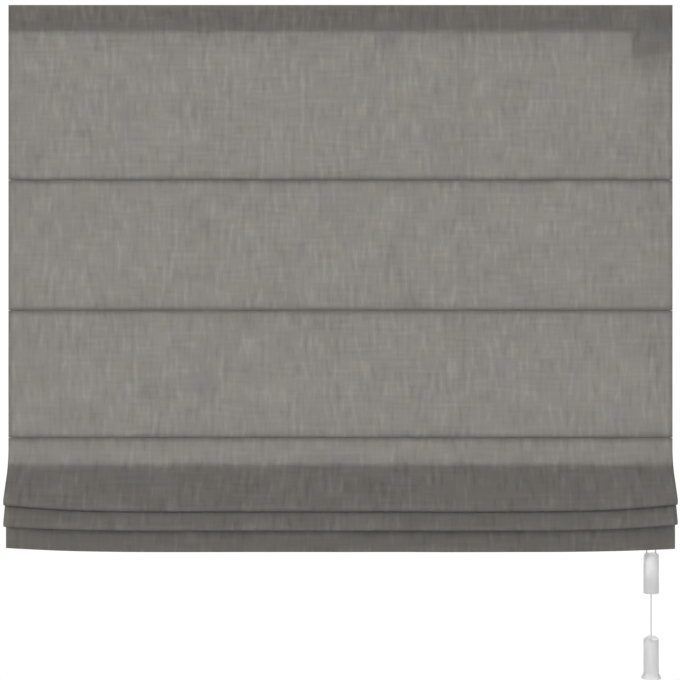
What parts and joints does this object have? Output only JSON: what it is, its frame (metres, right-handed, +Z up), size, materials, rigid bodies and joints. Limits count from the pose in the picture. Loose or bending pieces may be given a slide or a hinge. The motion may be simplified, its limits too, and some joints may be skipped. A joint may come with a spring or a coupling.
{
  "type": "roman blind",
  "caption": "Wall-hung roman blind: slubbed cloth with sewn-in rods, gathered in hanging folds, on a headrail with a cord lock, draw cords and a clear tassel.",
  "frame": {"origin": "on the wall, at the centre of the rectangle of wall screw holes", "axes": "+X along the rail to the right as seen from the room, +Y into the wall, +Z up"},
  "size_m": [0.8, 0.0678, 0.8145],
  "materials": {
    "cloth": "matt, slubbed plain weave",
    "rail": "satin anodised",
    "white_plastic": "moulded",
    "wheel_plastic": "smooth nylon",
    "clip_plastic": "translucent",
    "steel": "zinc plated",
    "rod": "drawn glass fibre",
    "tape": "hook and loop",
    "cord": "braided",
    "clear_plastic": "clear, slightly frosted"
  },
  "bodies": {
    "blind": {"cloth": "cloth", "headrail": "rail", "bottom_bar": "rail", "end_cap_left": "white_plastic", "end_cap_right": "white_plastic", "cord_guide_left": "white_plastic", "cord_guide_right": "white_plastic", "lock_body": "white_plastic", "lock_cover": "white_plastic", "bar_tips": "white_plastic", "rod_tips_1": "white_plastic", "rod_tips_2": "white_plastic", "rod_tips_3": "white_plastic", "rod_tips_4": "white_plastic", "rod_tips_5": "white_plastic", "rod_clips_1": "clip_plastic", "rod_clips_2": "clip_plastic", "rod_clips_3": "clip_plastic", "rod_clips_4": "clip_plastic", "rod_clips_5": "clip_plastic", "bracket_left": "steel", "bracket_right": "steel", "clip_rivet_left": "steel", "clip_rivet_right": "steel", "guide_pin_left": "steel", "guide_pin_right": "steel", "wheel_pin_left": "steel", "wheel_pin_right": "steel", "pawl_pin": "steel", "lock_screws": "steel", "rod_1": "rod", "rod_2": "rod", "rod_3": "rod", "rod_4": "rod", "rod_5": "rod", "hook_strip": "tape", "loop_strip": "tape", "lift_cord_left": "cord", "lift_cord_right": "cord", "draw_cord_left": "cord", "draw_cord_right": "cord", "pull_cord": "cord", "lift_knot_left": "cord", "lift_knot_right": "cord", "draw_knot_left": "cord", "draw_knot_right": "cord", "pull_knot": "cord", "tassel_knot": "cord", "connector_sleeve": "clear_plastic", "connector_plug": "clear_plastic", "tassel": "clear_plastic"},
    "turn_clip_left": {"turn_clip_left": "steel"},
    "turn_clip_right": {"turn_clip_right": "steel"},
    "guide_pulley_left": {"guide_pulley_left": "wheel_plastic"},
    "guide_pulley_right": {"guide_pulley_right": "wheel_plastic"},
    "lock_wheel_left": {"lock_wheel_left": "wheel_plastic"},
    "lock_wheel_right": {"lock_wheel_right": "wheel_plastic"},
    "lock_pawl": {"lock_pawl": "wheel_plastic"}
  },
  "joints": [
    {"name": "left_clip_turn", "type": "hinge", "parent": "blind", "child": "turn_clip_left", "pos_m": [-0.3, -0.02, 0.0109], "axis": [0, 0, 1], "range_deg": [0, 90]},
    {"name": "right_clip_turn", "type": "hinge", "parent": "blind", "child": "turn_clip_right", "pos_m": [0.3, -0.02, 0.0109], "axis": [0, 0, 1], "range_deg": [0, 90]},
    {"name": "left_pulley_spin", "type": "hinge", "parent": "blind", "child": "guide_pulley_left", "pos_m": [-0.1586, -0.02, -0.008], "axis": [0, 1, 0], "continuous": true},
    {"name": "right_pulley_spin", "type": "hinge", "parent": "blind", "child": "guide_pulley_right", "pos_m": [0.1524, -0.02, -0.008], "axis": [0, 1, 0], "continuous": true},
    {"name": "left_wheel_spin", "type": "hinge", "parent": "blind", "child": "lock_wheel_left", "pos_m": [0.3785, -0.02, -0.005], "axis": [0, 1, 0], "continuous": true},
    {"name": "right_wheel_spin", "type": "hinge", "parent": "blind", "child": "lock_wheel_right", "pos_m": [0.3677, -0.02, -0.008], "axis": [0, 1, 0], "continuous": true},
    {"name": "pawl_swing", "type": "hinge", "parent": "blind", "child": "lock_pawl", "pos_m": [0.3775, -0.02683, -0.0365], "axis": [-1, 0, 0], "range_deg": [0, 25]}
  ],
  "couplings": [
    {"joint": "right_pulley_spin", "follows": "left_pulley_spin", "ratio": 1},
    {"joint": "left_wheel_spin", "follows": "left_pulley_spin", "ratio": 1},
    {"joint": "right_wheel_spin", "follows": "left_pulley_spin", "ratio": 1}
  ]
}
